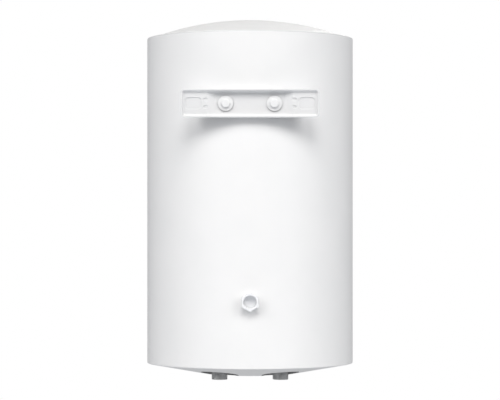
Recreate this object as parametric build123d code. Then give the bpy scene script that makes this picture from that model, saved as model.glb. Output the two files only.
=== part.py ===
from build123d import *
import math
import os

# Wall-hung electric storage water heater, in millimetres.
# It is modelled about the body's axis: Z is the axis, the lower rim lies at height 0 and the wall is
# on the -Y side. Each piece is moved to the part's own frame when it is written: there the origin is
# the middle of the bracket's upper rim, on the wall plane.

# Jacket and covers
BODY_D = 345.0            # outside diameter of the jacket
BODY_H = 543.0            # lower rim to upper rim
JACKET_T = 0.8            # jacket sheet
COVER_T = 2.5             # moulded wall of both covers
LIP_H = 2.0               # cover lip that closes the jacket's cut edge
RIM_R = 1.4               # rounding of the two rims
SKIRT_H = 14.0            # cover skirt inside the jacket
DOME_D = 329.0            # foot of the dome, inside the top cover's flat border
DOME_RISE = 30.0          # top cover's apex above the upper rim
DOME_BLEND_R = 3.0        # soft change from the border to the dome
BASE_DROP = 17.6          # bottom cover's flat middle below the lower rim
BASE_FLAT_D = 153.6       # flat middle of the bottom cover
BASE_BLEND_R = 3.0        # soft change from the slope to the flat middle

# Clearances
FIT = 0.2                 # between pieces that are fixed together
RUN = 0.05                # round a shaft or plunger that moves
LID_GAP = 0.4             # round the service cover
CUT = 1.0                 # how far a cut reaches past the face that it opens

# Wall bracket and what it is bolted to
WALL_GAP = 13.0           # jacket's rearmost line to the wall
WEB_GAP = 0.3             # jacket's rearmost line to the bracket's back
BRACKET_W = 221.0
BRACKET_H = 45.5
BRACKET_T = 2.5
BRACKET_DROP = 118.0      # upper rim down to the bracket's middle
BRACKET_CORNER_R = 6.0
BEND_R = 4.0              # inside radius of the pressed walls
BEND_OUT_R = 5.5          # outside radius of the same bend
END_DEPTH = 4.5           # tray depth at its two ends
DEEP_W = 108.0            # flat middle of the tray
STEP_L = 13.0             # length of the slope from the deep middle to an end
STEP_R = 9.0
PAD_W = 25.0              # pressed pads in the two ends
PAD_H = 18.0
PAD_DEPTH = 1.2
PAD_X = 90.5
PAD_CORNER_R = 5.0
DIMPLE_W = 7.0            # small pressed dimples between step and pad
DIMPLE_H = 4.4
DIMPLE_DEPTH = 1.2
DIMPLE_X = 70.5
DIMPLE_PITCH = 12.0
DIMPLE_CORNER_R = 2.0
PRESS_DRAFT = 20.0        # slope of the sides of pads and dimples, in degrees
PRESS_MARGIN = 0.5        # raised back beyond its hollow, on each side
BOLT_PITCH = 78.0
BOLT_D = 8.0
BOLT_AF = 13.0
BOLT_HEAD_H = 6.0
BOLT_CROWN_D = 12.0       # flat round top of the hexagon
BOLT_CROWN_SLOPE = 30.0   # fall of the hexagon's top edge, in degrees
BOLT_FLANGE_D = 24.6
BOLT_FLANGE_T = 2.5
BOLT_SKIRT_T = 1.2        # cone from the flange to the hexagon
BOLT_SPARE = 2.3          # bolt's end short of the tank's outermost line
BOSS_D = 20.0
SADDLE_T = 3.0
SADDLE_H = 50.0
SADDLE_MARGIN = 12.0      # saddle plate beyond the bosses

# Lower wall spacer
SPACER_RISE = 108.0       # lower rim up to the spacer's middle
SPACER_AF = 27.0
SPACER_BORE_D = 21.0
SPACER_FLOOR = 3.0
SPACER_STEM_D = 12.0
STEM_SPARE = 6.9          # stem's end short of the tank's outermost line
INSERT_WALL = 4.0
INSERT_SPARE = 1.0        # room in the insert beyond the stem
INSERT_END = 1.5
INSERT_FLANGE_W = 5.0
INSERT_FLANGE_T = 2.0
JACKET_BUSH_W = 3.0       # wall of the insert where it passes the jacket

# Pressure vessel
INSULATION = 25.5         # foam between the tank's side and the outside of the jacket
TANK_T = 2.0
TANK_FLOOR = 52.0         # lower rim up to the tank's lowest point
TANK_HEADROOM = 24.0      # tank's highest point below the top cover's inside
KNUCKLE = 0.1             # knuckle radius of the heads as a share of the diameter

# Water connections
PIPE_PITCH = 100.0
PIPE_D = 26.44            # major diameter of the G 3/4 thread
THREAD_L = 22.0
PIPE_DROP = 5.0           # pipe ends below the bottom cover's flat middle
SHANK_D = 24.0
PIPE_BORE_D = 18.0
PIPE_CHAMFER = 0.8
DIP_D = 20.0
DIP_SOCKET = 16.0         # depth of the dip tube in its nipple
DIP_HEADROOM = 12.0
NIPPLE_IN = 14.0          # nipple's end inside the tank
WELL_D = 62.0
WELL_SPARE = 1.0          # between a well and the electrical compartment
GROMMET_T = 2.0
GROMMET_NECK_W = 2.9
GROMMET_LIP_W = 3.2
DIFFUSER_WALL = 2.5
DIFFUSER_H = 24.0
DIFFUSER_SLOT_W = 7.0
DIFFUSER_SLOT_H = 8.0
DIFFUSER_SLOTS = 6

# Heater flange
MOUTH_D = 52.0            # way into the tank
COLLAR_WALL = 4.0
COLLAR_D = 86.0
COLLAR_T = 7.0
COLLAR_IN = 6.0
GASKET_T = 3.0
PLATE_T = 4.0
STUD_COUNT = 5
STUD_D = 6.0
STUD_CIRCLE_D = 69.0
STUD_SEAT = 5.0
STUD_PROUD = 6.0
NUT_AF = 10.0
NUT_H = 5.0

# Heating element, anode and earth screw, placed on the flange plate
ELEMENT_D = 8.5
ELEMENT_X = 13.0
ELEMENT_Y = 10.0
ELEMENT_TOP = 330.0
ELEMENT_TAIL = 6.0        # sheath below the flange plate
BEAD_D = 10.0
BEAD_H = 3.0
PIN_D = 3.0
ANODE_D = 18.0
ANODE_X = 10.0
ANODE_Y = -12.0
ANODE_LIFT = 22.0         # rod's lower end above the flange plate
ANODE_L = 240.0
ANODE_STUD_D = 8.0
ANODE_NUT_AF = 13.0
ANODE_NUT_H = 6.0
ANODE_PROUD = 3.0
EARTH_Y = 20.0
EARTH_D = 4.0
EARTH_AF = 7.0
EARTH_H = 3.0
EARTH_SEAT = 3.0          # depth of its thread in the plate

# Thermostat
POCKET_D = 12.0
POCKET_T = 1.0
POCKET_X = -12.0
POCKET_Y = -12.0
POCKET_L = 230.0
POCKET_TAIL = 2.0
PROBE_SPARE = 8.0
THERMO_W = 56.0
THERMO_L = 54.0
THERMO_H = 24.0
THERMO_Y = 5.0
THERMO_CORNER_R = 4.0
THERMO_DROP = 2.0         # top of the thermostat below the studs
SPINDLE_D = 6.0
SPINDLE_FLAT = 1.0        # depth of the spindle's flat
SPINDLE_IN = 7.0
RESET_D = 7.0
RESET_L = 8.0
RESET_PROUD = 3.5
RESET_TRAVEL = 1.5
RESET_SPARE = 0.3
RESET_CHAMFER = 0.8
RESET_X = -19.0
RESET_Y = -10.0

# Service cover, knob, lamp and cable gland
LID_D = 112.0
LEDGE_W = 11.0            # ledge that the service cover is screwed to
SCREW_D = 3.5
SCREW_HEAD_D = 7.0
SCREW_HEAD_H = 2.2
SCREW_L = 12.0
SCREW_BOSS_D = 9.0
CUP_D = 46.0              # recess that the knob turns in
CUP_DEPTH = 11.0
KNOB_Y = 12.0
KNOB_D = 38.0
KNOB_T = 4.0              # disc of the knob
KNOB_GAP = 0.8
KNOB_GRIP_W = 9.0
KNOB_GRIP_R = 1.4
KNOB_PROUD = 1.2          # grip below the service cover
KNOB_TEETH = 20
KNOB_TOOTH_R = 1.4
KNOB_ROOF = 2.0
LAMP_X = -36.0
LAMP_LENS_D = 9.0
LAMP_RIM_W = 1.5
LAMP_RIM_T = 1.0
LAMP_DOME = 1.2
LAMP_BODY_D = 11.0
LAMP_BODY_H = 17.0
LEAD_D = 2.0
LEAD_PITCH = 4.4
LEAD_RISE = 7.0
LEAD_BEND_R = 3.85
GLAND_X = 36.0
GLAND_BORE_D = 8.0
GLAND_WALL = 2.0
GLAND_RIM_W = 2.5
GLAND_RIM_T = 1.5
GLAND_IN = 10.0

# Values that follow from the sizes above
BODY_R = BODY_D / 2
JACKET_IN_R = BODY_R - JACKET_T
SKIRT_R = JACKET_IN_R - FIT
SKIRT_IN_R = SKIRT_R - COVER_T
BASE_FLAT_R = BASE_FLAT_D / 2
BASE_Z = -BASE_DROP
BASE_IN_Z = BASE_Z + COVER_T
BASE_SLOPE = math.atan(BASE_DROP / (BODY_R - BASE_FLAT_R))
BASE_LIFT = COVER_T / math.cos(BASE_SLOPE)
DOME_FOOT_R = DOME_D / 2
DOME_R = (DOME_FOOT_R ** 2 + DOME_RISE ** 2) / (2 * DOME_RISE)
DOME_Z = BODY_H + DOME_RISE - DOME_R

WALL_Y = -(BODY_R + WALL_GAP)
DEEP_DEPTH = WALL_GAP - WEB_GAP - BRACKET_T
WEB_BACK_Y = WALL_Y + DEEP_DEPTH + BRACKET_T
BRACKET_Z = BODY_H - BRACKET_DROP
HANG_Z = BRACKET_Z + (BRACKET_H - BRACKET_T) / 2
SPACER_Y = -(BODY_R + 2 * FIT)

TANK_D = BODY_D - 2 * INSULATION
TANK_R = TANK_D / 2
BOLT_SEAT_Y = WALL_Y + DEEP_DEPTH
BOLT_END_Y = -TANK_R - BOLT_SPARE
STEM_END_Y = -TANK_R - STEM_SPARE
INSERT_END_Y = STEM_END_Y + INSERT_SPARE + INSERT_END
TANK_TOP = BODY_H + DOME_RISE - COVER_T - TANK_HEADROOM
KNUCKLE_R = KNUCKLE * TANK_D
HEAD_DEPTH = TANK_D - math.sqrt((TANK_D - KNUCKLE_R) ** 2 - (TANK_R - KNUCKLE_R) ** 2)
SHELL_Z0 = TANK_FLOOR + HEAD_DEPTH
SHELL_Z1 = TANK_TOP - HEAD_DEPTH

LID_R = LID_D / 2
OPEN_R = LID_R + LID_GAP
LEDGE_R = LID_R - LEDGE_W
LEDGE_TOP = BASE_IN_Z + COVER_T
DAM_R = OPEN_R + COVER_T
DAM_OUT_R = DAM_R + COVER_T
SCREW_R = LEDGE_R + LEDGE_W / 2

WELL_R = WELL_D / 2
PIPE_X = PIPE_PITCH / 2
PIPE_RING_R = DAM_OUT_R + WELL_SPARE + COVER_T + WELL_R
PIPE_Y = -math.sqrt(PIPE_RING_R ** 2 - PIPE_X ** 2)
PIPE_END = BASE_Z - PIPE_DROP
THREAD_TOP = PIPE_END + THREAD_L
WELL_FLOOR = THREAD_TOP + GROMMET_T
SHANK_R = SHANK_D / 2
GROMMET_HOLE_R = SHANK_R + FIT + GROMMET_NECK_W + FIT


def crown(r, grow=0.0):
    """Height of the tank head's crown above the tank's lowest point, at radius r."""
    radius = TANK_D + grow
    return TANK_D - math.sqrt(radius ** 2 - r ** 2)


NECK_R = MOUTH_D / 2 + COLLAR_WALL
COLLAR_TOP = TANK_FLOOR + crown(NECK_R)
SEAT_Z = COLLAR_TOP - COLLAR_T
PLATE_TOP = SEAT_Z - GASKET_T
PLATE_Z = PLATE_TOP - PLATE_T
STUD_END = PLATE_Z - NUT_H - STUD_PROUD
THERMO_TOP = STUD_END - THERMO_DROP
THERMO_Z = THERMO_TOP - THERMO_H
DAM_TOP = TANK_FLOOR + crown(DAM_R) - FIT
NIPPLE_TOP = TANK_FLOOR + crown(PIPE_RING_R, -TANK_T) + NIPPLE_IN
CUP_FLOOR = BASE_Z + CUP_DEPTH
KNOB_TOP = CUP_FLOOR - KNOB_GAP
KNOB_END = BASE_Z - KNOB_PROUD
SPINDLE_END = KNOB_END + KNOB_ROOF

UP = (Align.CENTER, Align.CENTER, Align.MIN)


def rod(d, z0, z1, x=0.0, y=0.0):
    """Upright cylinder from z0 to z1."""
    return Pos(x, y, z0) * Cylinder(d / 2, z1 - z0, align=UP)


def rod_y(d, y0, y1, x, z):
    """Cylinder along Y from y0 to y1."""
    return Pos(x, y0, z) * Rot(-90, 0, 0) * Cylinder(d / 2, y1 - y0, align=UP)


def ring(d_out, d_in, z0, z1, x=0.0, y=0.0):
    """Upright tube."""
    return rod(d_out, z0, z1, x, y) - rod(d_in, z0 - CUT, z1 + CUT, x, y)


def hex_rod(af, z0, z1, x=0.0, y=0.0):
    """Upright hexagonal bar, given across its flats."""
    outline = RegularPolygon(af / 2, 6, major_radius=False)
    return Pos(x, y, z0) * extrude(outline, z1 - z0)


def spin(*lines):
    """Solid turned about Z from a closed outline in the XZ plane."""
    return revolve(make_face(list(lines)), Axis.Z)


def path(*points):
    """Straight lines through points given as radius and height."""
    return Polyline(*[(r, 0, z) for r, z in points])


def arc(centre, radius, start, end):
    """Circular arc in the XZ plane about a centre, between two points near it."""
    a0 = math.atan2(start[1] - centre[1], start[0] - centre[0])
    a1 = math.atan2(end[1] - centre[1], end[0] - centre[0])
    mid = (a0 + a1) / 2
    spot = (centre[0] + radius * math.cos(mid), 0, centre[1] + radius * math.sin(mid))
    return ThreePointArc((start[0], 0, start[1]), spot, (end[0], 0, end[1]))


def circles(part, radius, z):
    """Circular edges of a turned part with this radius at this height."""
    found = part.edges().filter_by(GeomType.CIRCLE)
    return [e for e in found if abs(e.radius - radius) < 0.01 and abs(e.arc_center.Z - z) < 0.01]


def both_sides(make):
    """The same solid at each side, made by a function of the side's sign."""
    return [make(-1), make(1)]


def dome_foot(inset):
    """Where the top cover's dome meets its border, both moved in by an inset."""
    z = BODY_H - inset
    return math.sqrt((DOME_R - inset) ** 2 - (z - DOME_Z) ** 2), z


def cone_z(r):
    """Height of the bottom cover's slope on the outside."""
    return BASE_Z + (r - BASE_FLAT_R) * math.tan(BASE_SLOPE)


def outer_jacket():
    part = ring(BODY_D, 2 * JACKET_IN_R, LIP_H, BODY_H - LIP_H)
    for side in (-1, 1):
        part -= rod_y(BOSS_D + 2 * FIT, -BODY_R - CUT, -TANK_R, side * BOLT_PITCH / 2, BRACKET_Z)
    bush_d = SPACER_STEM_D + 2 * JACKET_BUSH_W
    return part - rod_y(bush_d + 2 * FIT, -BODY_R - CUT, -TANK_R, 0, SPACER_RISE)


def top_cover():
    lip_z = BODY_H - LIP_H
    skirt_z = lip_z - SKIRT_H
    apex = (0, BODY_H + DOME_RISE)
    foot = (DOME_FOOT_R, BODY_H)
    inside = (0, apex[1] - COVER_T)
    foot_in = dome_foot(COVER_T)
    part = spin(
        arc((0, DOME_Z), DOME_R, apex, foot),
        path(foot, (BODY_R, BODY_H), (BODY_R, lip_z), (SKIRT_R, lip_z), (SKIRT_R, skirt_z),
             (SKIRT_IN_R, skirt_z), (SKIRT_IN_R, foot_in[1]), foot_in),
        arc((0, DOME_Z), DOME_R - COVER_T, foot_in, inside),
        path(inside, apex))
    part = fillet(circles(part, BODY_R, BODY_H), RIM_R)
    return fillet(circles(part, DOME_FOOT_R, BODY_H), DOME_BLEND_R)


def above_base():
    """Everything above the middle of the bottom cover's wall, up to the tank's height."""
    foot = BASE_Z + COVER_T / 2
    return spin(path((0, foot), (BASE_FLAT_R, foot), (BODY_R, COVER_T / 2), (BODY_R, TANK_FLOOR),
                     (0, TANK_FLOOR), (0, foot)))


def bottom_cover():
    skirt_z = LIP_H + SKIRT_H
    flat_in_r = BASE_FLAT_R - COVER_T * math.tan(BASE_SLOPE / 2)
    in_z = cone_z(SKIRT_IN_R) + BASE_LIFT
    part = spin(path(
        (BODY_R, LIP_H), (BODY_R, 0), (BASE_FLAT_R, BASE_Z), (OPEN_R, BASE_Z), (OPEN_R, BASE_IN_Z),
        (LEDGE_R, BASE_IN_Z), (LEDGE_R, LEDGE_TOP), (DAM_R, LEDGE_TOP), (DAM_R, DAM_TOP),
        (DAM_OUT_R, DAM_TOP), (DAM_OUT_R, BASE_IN_Z), (flat_in_r, BASE_IN_Z), (SKIRT_IN_R, in_z),
        (SKIRT_IN_R, skirt_z), (SKIRT_R, skirt_z), (SKIRT_R, LIP_H), (BODY_R, LIP_H)))
    part = fillet(circles(part, BODY_R, 0), RIM_R)
    part = fillet(circles(part, BASE_FLAT_R, BASE_Z), BASE_BLEND_R)
    limit = above_base()
    for x in (-PIPE_X, PIPE_X):
        part += rod(WELL_D + 2 * COVER_T, BASE_Z, WELL_FLOOR + COVER_T, x, PIPE_Y) & limit
    for x in (-PIPE_X, PIPE_X):
        part -= rod(WELL_D, BASE_Z - CUT, WELL_FLOOR, x, PIPE_Y)
        part -= rod(2 * GROMMET_HOLE_R, WELL_FLOOR - CUT, WELL_FLOOR + COVER_T + CUT, x, PIPE_Y)
    for y in (-SCREW_R, SCREW_R):
        part += rod(SCREW_BOSS_D, LEDGE_TOP, BASE_Z + SCREW_L + COVER_T, 0, y)
        part -= rod(SCREW_D + 2 * RUN, BASE_Z, BASE_Z + SCREW_L + FIT, 0, y)
    return part


def service_cover():
    part = rod(LID_D, BASE_Z, BASE_IN_Z)
    part += rod(CUP_D + 2 * COVER_T, BASE_Z, CUP_FLOOR + COVER_T, 0, KNOB_Y)
    part -= rod(CUP_D, BASE_Z - CUT, CUP_FLOOR, 0, KNOB_Y)
    part -= rod(SPINDLE_D + 2 * LID_GAP, BASE_Z, CUP_FLOOR + COVER_T + CUT, 0, KNOB_Y)
    part -= rod(LAMP_LENS_D + 2 * FIT, BASE_Z - CUT, BASE_IN_Z + CUT, LAMP_X)
    part -= rod(GLAND_BORE_D + 2 * GLAND_WALL + 2 * FIT, BASE_Z - CUT, BASE_IN_Z + CUT, GLAND_X)
    for y in (-SCREW_R, SCREW_R):
        part -= rod(SCREW_D + 2 * FIT, BASE_Z - CUT, BASE_IN_Z + CUT, 0, y)
        part -= screw_head(y, FIT)
    return part


def screw_head(y, grow=0.0):
    """Countersunk head, flush with the service cover."""
    top = SCREW_D / 2 + grow
    foot = SCREW_HEAD_D / 2 + grow
    return Pos(0, y, BASE_Z) * Cone(foot, top, SCREW_HEAD_H, align=UP)


def service_screws():
    return [screw_head(y) + rod(SCREW_D, BASE_Z + SCREW_HEAD_H, BASE_Z + SCREW_L, 0, y)
            for y in (-SCREW_R, SCREW_R)]


def bracket_outline(inset):
    """Plan of the tray from the wall plane to its web, moved in by an inset on every side."""
    shift = inset * math.tan(math.atan((DEEP_DEPTH - END_DEPTH) / STEP_L) / 2)
    end_x = BRACKET_W / 2 - inset
    end_y = WALL_Y + END_DEPTH + BRACKET_T - inset
    deep_y = WALL_Y + DEEP_DEPTH + BRACKET_T - inset
    foot = DEEP_W / 2 + BRACKET_T - shift
    knee = foot + STEP_L
    rim_y = WALL_Y - inset
    plan = make_face(Polyline(
        (-end_x, rim_y), (-end_x, end_y), (-knee, end_y), (-foot, deep_y), (foot, deep_y),
        (knee, end_y), (end_x, end_y), (end_x, rim_y), close=True))
    bends = [v for v in plan.vertices() if abs(v.X) < knee + 0.01]
    return fillet(bends, STEP_R)


def tray(inset, corner_r, bend_r):
    """Solid tray block with rounded corners and a rounded bottom edge."""
    height = BRACKET_H - 2 * inset
    part = Pos(0, 0, BRACKET_Z) * extrude(bracket_outline(inset), height / 2, both=True)
    end_x = BRACKET_W / 2 - inset
    corners = [e for e in part.edges().filter_by(Axis.Y) if abs(abs(e.center().X) - end_x) < 0.01]
    part = fillet(corners, corner_r)
    floor_y = WALL_Y + END_DEPTH + BRACKET_T - inset - 0.01
    bottom = [e for e in part.edges() if e.bounding_box().min.Y > floor_y
              and abs(e.bounding_box().size.X) > 0.01]
    return fillet(bottom, bend_r)


def pressed(width, height, depth, corner_r, x, z):
    """Pad or dimple pressed into a tray end, as the pair of its hollow and its raised back."""
    plan = Plane.XZ * RectangleRounded(width, height, corner_r)
    face_y = WALL_Y + END_DEPTH
    hollow = Pos(x, face_y + depth, z) * extrude(plan, depth + CUT, taper=-PRESS_DRAFT)
    grow = 2 * PRESS_MARGIN
    back = Plane.XZ * RectangleRounded(width + grow, height + grow, corner_r + PRESS_MARGIN)
    raised = Pos(x, face_y + BRACKET_T + depth, z) * extrude(back, depth + PRESS_MARGIN, taper=-PRESS_DRAFT)
    return hollow, raised


def wall_bracket():
    part = tray(0, BRACKET_CORNER_R, BEND_OUT_R)
    part -= tray(BRACKET_T, BRACKET_CORNER_R - BRACKET_T, BEND_R)
    for side in (-1, 1):
        part -= rod_y(BOLT_D + 4 * FIT, WALL_Y, WEB_BACK_Y + CUT, side * BOLT_PITCH / 2, BRACKET_Z)
        marks = [(PAD_W, PAD_H, PAD_DEPTH, PAD_CORNER_R, PAD_X, 0)]
        for dz in (-DIMPLE_PITCH / 2, DIMPLE_PITCH / 2):
            marks.append((DIMPLE_W, DIMPLE_H, DIMPLE_DEPTH, DIMPLE_CORNER_R, DIMPLE_X, dz))
        for width, height, depth, corner_r, x, dz in marks:
            hollow, raised = pressed(width, height, depth, corner_r, side * x, BRACKET_Z + dz)
            part = part + raised - hollow
    return part


def bolt_head():
    """Flange, skirt and hexagon with a crowned top, standing on height 0."""
    top = BOLT_FLANGE_T + BOLT_HEAD_H
    fall = (BOLT_AF - BOLT_CROWN_D / 2) * math.tan(math.radians(BOLT_CROWN_SLOPE))
    part = rod(BOLT_FLANGE_D, 0, BOLT_FLANGE_T)
    part += Pos(0, 0, BOLT_FLANGE_T) * Cone(BOLT_FLANGE_D / 2, BOLT_AF / 2, BOLT_SKIRT_T, align=UP)
    crowned = Pos(0, 0, top - fall) * Cone(BOLT_AF, BOLT_CROWN_D / 2, fall, align=UP)
    crowned += rod(2 * BOLT_AF, 0, top - fall)
    return part + (hex_rod(BOLT_AF, BOLT_FLANGE_T, top) & crowned)


def bracket_bolt(side):
    x = side * BOLT_PITCH / 2
    head = Pos(x, BOLT_SEAT_Y, BRACKET_Z) * Rot(90, 0, 0) * bolt_head()
    return head + rod_y(BOLT_D, BOLT_SEAT_Y, BOLT_END_Y, x, BRACKET_Z)


def bracket_boss(side):
    x = side * BOLT_PITCH / 2
    part = rod_y(BOSS_D, WEB_BACK_Y, -TANK_R + SADDLE_MARGIN, x, BRACKET_Z)
    part -= rod(TANK_D + 2 * SADDLE_T + 4 * FIT, BRACKET_Z - BOSS_D, BRACKET_Z + BOSS_D)
    return part - rod_y(BOLT_D + 2 * RUN, WEB_BACK_Y - CUT, BOLT_END_Y + FIT, x, BRACKET_Z)


def saddle_plate(grow=0.0):
    z0 = BRACKET_Z - SADDLE_H / 2 - grow
    z1 = BRACKET_Z + SADDLE_H / 2 + grow
    width = BOLT_PITCH + BOSS_D + 2 * SADDLE_MARGIN + 2 * grow
    part = ring(TANK_D + 2 * FIT + 2 * SADDLE_T + 2 * grow, TANK_D + 2 * FIT, z0, z1)
    part &= Pos(0, -BODY_R, BRACKET_Z) * Box(width, BODY_D, SADDLE_H + 2 * grow)
    for side in (-1, 1):
        part -= rod_y(BOLT_D + 4 * FIT, -BODY_R, 0, side * BOLT_PITCH / 2, BRACKET_Z)
    return part


def wall_spacer():
    hexagon = Plane.XZ * RegularPolygon(SPACER_AF / 2, 6, major_radius=False, rotation=30)
    part = Pos(0, SPACER_Y, SPACER_RISE) * extrude(hexagon, SPACER_Y - WALL_Y)
    part -= rod_y(SPACER_BORE_D, WALL_Y - CUT, SPACER_Y - SPACER_FLOOR, 0, SPACER_RISE)
    return part + rod_y(SPACER_STEM_D, SPACER_Y, STEM_END_Y, 0, SPACER_RISE)


def spacer_insert():
    barrel_d = SPACER_STEM_D + 2 * INSERT_WALL
    flange_d = barrel_d + 2 * INSERT_FLANGE_W
    bush_d = SPACER_STEM_D + 2 * JACKET_BUSH_W
    flange_y = -JACKET_IN_R + INSERT_FLANGE_T + FIT
    part = rod_y(barrel_d, -BODY_R, INSERT_END_Y, 0, SPACER_RISE)
    part += rod_y(flange_d, -BODY_R, flange_y + CUT, 0, SPACER_RISE)
    part &= rod(2 * JACKET_IN_R - 2 * FIT, SPACER_RISE - flange_d, SPACER_RISE + flange_d)
    part += rod_y(bush_d, -BODY_R, flange_y, 0, SPACER_RISE)
    return part - rod_y(SPACER_STEM_D + 2 * RUN, -BODY_R - CUT, INSERT_END_Y - INSERT_END, 0, SPACER_RISE)


def dish(grow=0.0):
    """Filled lower head of the tank, grown outwards by an amount."""
    centre = (0, TANK_FLOOR + TANK_D)
    knuckle = (TANK_R - KNUCKLE_R, SHELL_Z0)
    reach = math.hypot(knuckle[0], knuckle[1] - centre[1])
    share = (TANK_D + grow) / reach
    meet = (knuckle[0] * share, centre[1] + (knuckle[1] - centre[1]) * share)
    edge = (TANK_R + grow, SHELL_Z0)
    foot = (0, TANK_FLOOR - grow)
    return spin(arc(centre, TANK_D + grow, foot, meet), arc(knuckle, KNUCKLE_R + grow, meet, edge),
                path(edge, (0, SHELL_Z0), foot))


def to_top(part):
    """The same head at the tank's upper end."""
    return mirror(part, Plane.XY.offset((TANK_FLOOR + TANK_TOP) / 2))


def tank_bottom_head():
    part = dish() - dish(-TANK_T)
    part -= rod(2 * NECK_R, TANK_FLOOR - CUT, TANK_FLOOR + HEAD_DEPTH / 2)
    for x in (-PIPE_X, PIPE_X):
        part -= rod(SHANK_D + 2 * FIT, TANK_FLOOR, SHELL_Z0, x, PIPE_Y)
    return part


def foam_insulation():
    mid = (TANK_FLOOR + TANK_TOP) / 2
    foot_r = DAM_OUT_R + FIT
    flat_r = BASE_FLAT_R - COVER_T * math.tan(BASE_SLOPE / 2)
    side_r = SKIRT_IN_R - FIT
    lift = BASE_LIFT + FIT / math.cos(BASE_SLOPE)
    skirt_z0 = LIP_H + SKIRT_H + FIT
    skirt_z1 = BODY_H - skirt_z0
    inset = COVER_T + FIT
    shoulder = dome_foot(inset)
    apex = (0, BODY_H + DOME_RISE - inset)
    part = spin(
        path((0, mid), (foot_r, mid), (foot_r, BASE_IN_Z + FIT), (flat_r, BASE_IN_Z + FIT),
             (side_r, cone_z(side_r) + lift), (side_r, skirt_z0), (JACKET_IN_R - FIT, skirt_z0),
             (JACKET_IN_R - FIT, skirt_z1), (side_r, skirt_z1), (side_r, shoulder[1]), shoulder),
        arc((0, DOME_Z), DOME_R - inset, shoulder, apex),
        path(apex, (0, mid)))
    part -= dish(FIT) + to_top(dish(FIT)) + rod(TANK_D + 2 * FIT, SHELL_Z0, SHELL_Z1)
    for x in (-PIPE_X, PIPE_X):
        part -= rod(WELL_D + 2 * COVER_T + 2 * FIT, BASE_Z, WELL_FLOOR + COVER_T + FIT, x, PIPE_Y)
        part -= rod(SHANK_D + 2 * FIT, WELL_FLOOR, SHELL_Z0, x, PIPE_Y)
    part -= saddle_plate(FIT)
    for side in (-1, 1):
        part -= rod_y(BOSS_D + 2 * FIT, -BODY_R, -TANK_R + SADDLE_MARGIN, side * BOLT_PITCH / 2,
                      BRACKET_Z)
    barrel_d = SPACER_STEM_D + 2 * INSERT_WALL + 2 * FIT
    flange_y = -JACKET_IN_R + INSERT_FLANGE_T + 2 * FIT + CUT
    part -= rod_y(barrel_d, -BODY_R, INSERT_END_Y + FIT, 0, SPACER_RISE)
    part -= rod_y(barrel_d + 2 * INSERT_FLANGE_W, -BODY_R, flange_y, 0, SPACER_RISE)
    return part


def nipple(x, socket):
    """Threaded end, shank through the tank's head, and a socket for a dip tube if there is one."""
    part = rod(PIPE_D, PIPE_END, THREAD_TOP, x, PIPE_Y)
    part = chamfer(circles(part, PIPE_D / 2, PIPE_END), PIPE_CHAMFER)
    part += rod(SHANK_D, THREAD_TOP, NIPPLE_TOP, x, PIPE_Y)
    part -= rod(PIPE_BORE_D, PIPE_END - CUT, NIPPLE_TOP + CUT, x, PIPE_Y)
    if socket:
        part -= rod(DIP_D + 2 * RUN, NIPPLE_TOP - DIP_SOCKET, NIPPLE_TOP + CUT, x, PIPE_Y)
    return part


def hot_dip_tube():
    top = TANK_TOP - crown(PIPE_RING_R, -TANK_T) - DIP_HEADROOM
    return ring(DIP_D, PIPE_BORE_D, NIPPLE_TOP - DIP_SOCKET, top, PIPE_X, PIPE_Y)


def inlet_diffuser():
    inner = SHANK_D + 2 * RUN
    base = NIPPLE_TOP - NIPPLE_IN / 2
    top = base + DIFFUSER_H
    part = rod(inner + 2 * DIFFUSER_WALL, base, top, -PIPE_X, PIPE_Y)
    part -= rod(inner, base - CUT, top - DIFFUSER_WALL, -PIPE_X, PIPE_Y)
    slot = Pos(inner / 2, 0, 0) * Box(inner, DIFFUSER_SLOT_W, DIFFUSER_SLOT_H)
    for i in range(DIFFUSER_SLOTS):
        turn = Rot(0, 0, 360 * i / DIFFUSER_SLOTS)
        part -= Pos(-PIPE_X, PIPE_Y, top - DIFFUSER_WALL - DIFFUSER_SLOT_H / 2) * turn * slot
    return part


def pipe_grommet(side):
    inner = SHANK_D + 2 * FIT
    neck = 2 * (GROMMET_HOLE_R - FIT)
    x = side * PIPE_X
    part = rod(neck, THREAD_TOP, WELL_FLOOR + COVER_T, x, PIPE_Y)
    part += rod(neck + 2 * GROMMET_LIP_W, THREAD_TOP, WELL_FLOOR, x, PIPE_Y)
    return part - rod(inner, THREAD_TOP - CUT, WELL_FLOOR + COVER_T + CUT, x, PIPE_Y)


def stud_spots():
    """Places of the flange studs on their circle."""
    turns = [math.radians(90 + 360 * i / STUD_COUNT) for i in range(STUD_COUNT)]
    return [(STUD_CIRCLE_D / 2 * math.cos(a), STUD_CIRCLE_D / 2 * math.sin(a)) for a in turns]


def with_stud_holes(part, clearance, z0, z1):
    for x, y in stud_spots():
        part -= rod(STUD_D + 2 * clearance, z0, z1, x, y)
    return part


def flange_collar():
    part = ring(COLLAR_D, MOUTH_D, SEAT_Z, COLLAR_TOP)
    part += ring(2 * NECK_R - 2 * FIT, MOUTH_D, COLLAR_TOP, COLLAR_TOP + COLLAR_IN)
    return with_stud_holes(part, RUN, SEAT_Z - CUT, SEAT_Z + STUD_SEAT)


def flange_gasket():
    part = ring(COLLAR_D, MOUTH_D, PLATE_TOP, SEAT_Z)
    return with_stud_holes(part, FIT, PLATE_TOP - CUT, SEAT_Z + CUT)


def flange_plate():
    z0 = PLATE_Z - CUT
    z1 = PLATE_TOP + CUT
    part = with_stud_holes(rod(COLLAR_D, PLATE_Z, PLATE_TOP), FIT, z0, z1)
    for x in (-ELEMENT_X, ELEMENT_X):
        part -= rod(ELEMENT_D + 2 * RUN, z0, z1, x, ELEMENT_Y)
    part -= rod(POCKET_D + 2 * RUN, z0, z1, POCKET_X, POCKET_Y)
    part -= rod(ANODE_STUD_D + 2 * RUN, z0, z1, ANODE_X, ANODE_Y)
    return part - rod(EARTH_D + 2 * RUN, z0, PLATE_Z + EARTH_SEAT, 0, EARTH_Y)


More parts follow.
